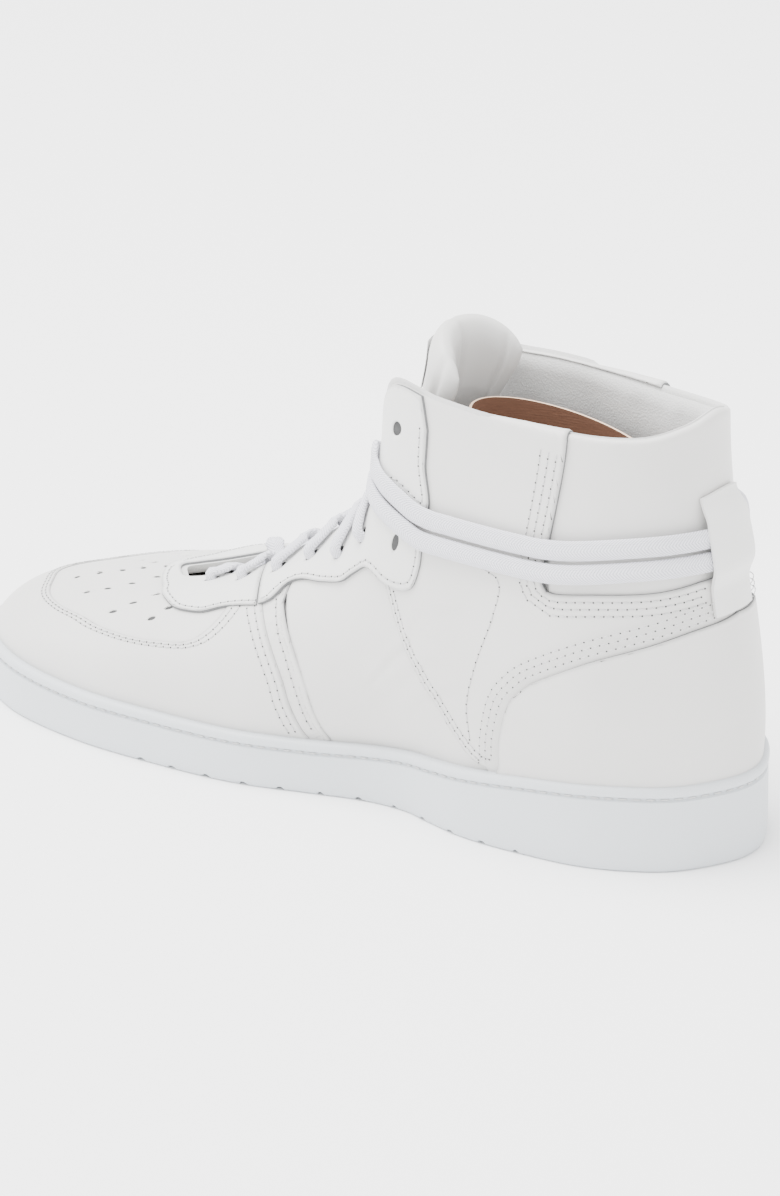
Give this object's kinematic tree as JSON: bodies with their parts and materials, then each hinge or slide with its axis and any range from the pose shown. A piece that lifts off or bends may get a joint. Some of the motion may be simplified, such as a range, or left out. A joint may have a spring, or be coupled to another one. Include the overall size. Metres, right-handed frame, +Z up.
{
  "type": "high-top sneaker",
  "caption": "White leather high-top basketball sneaker with a rubber cup sole, padded collar and tongue, and a flat lace that wraps the ankle through a heel loop.",
  "frame": {"origin": "centre of the footprint, on the surface the sole stands on", "axes": "+X towards the heel, -Y towards the outer side of this left shoe, +Z up"},
  "size_m": [0.2999, 0.1024, 0.157],
  "materials": {
    "leather_white": "smooth full-grain, satin",
    "leather_trim": "smooth, satin",
    "rubber_white": "moulded, satin",
    "lace_white": "flat woven",
    "lining_white": "soft lining leather",
    "textile_white": "woven lining",
    "foam_grey": "soft foam",
    "board_tan": "pressed fibre board",
    "card_tan": "brown fibre card",
    "steel": "plain",
    "stiffener": "thermoformed sheet"
  },
  "bodies": {
    "shoe": {"ankle_facing_inner": "leather_trim", "ankle_facing_outer": "leather_trim", "collar_padding": "foam_grey", "cupsole": "rubber_white", "eyestay_front": "leather_trim", "eyestay_rear_inner": "leather_trim", "eyestay_rear_outer": "leather_trim", "foam_midsole": "foam_grey", "footbed": "lining_white", "heel_counter": "stiffener", "heel_loop": "leather_white", "heel_overlay": "leather_white", "insole_board": "board_tan", "lace": "lace_white", "quarter_inner": "leather_white", "quarter_lining": "lining_white", "quarter_outer": "leather_white", "rear_collar_panel": "leather_white", "shank": "steel", "side_panel_inner": "leather_white", "side_panel_outer": "leather_white", "side_strip_inner": "leather_white", "side_strip_outer": "leather_white", "sole_stitching": "lace_white", "toe_mudguard": "leather_white", "toe_puff": "stiffener", "tongue_lower": "leather_white", "vamp_lining": "textile_white", "vamp_panel": "leather_white"},
    "tongue_top": {"tongue_face": "leather_white", "tongue_foam": "foam_grey", "tongue_label": "lace_white", "tongue_lining": "lining_white"},
    "card": {"shaping_insert": "card_tan"}
  },
  "joints": [
    {"name": "tongue_fold", "type": "hinge", "parent": "shoe", "child": "tongue_top", "pos_m": [0.0215, -0.0025, 0.109], "axis": [0, 1, 0], "range_deg": [-5, 0]},
    {"name": "card_lift", "type": "slide", "parent": "shoe", "child": "card", "axis": [0, 0, 1], "range_m": [0, 0.11]}
  ]
}
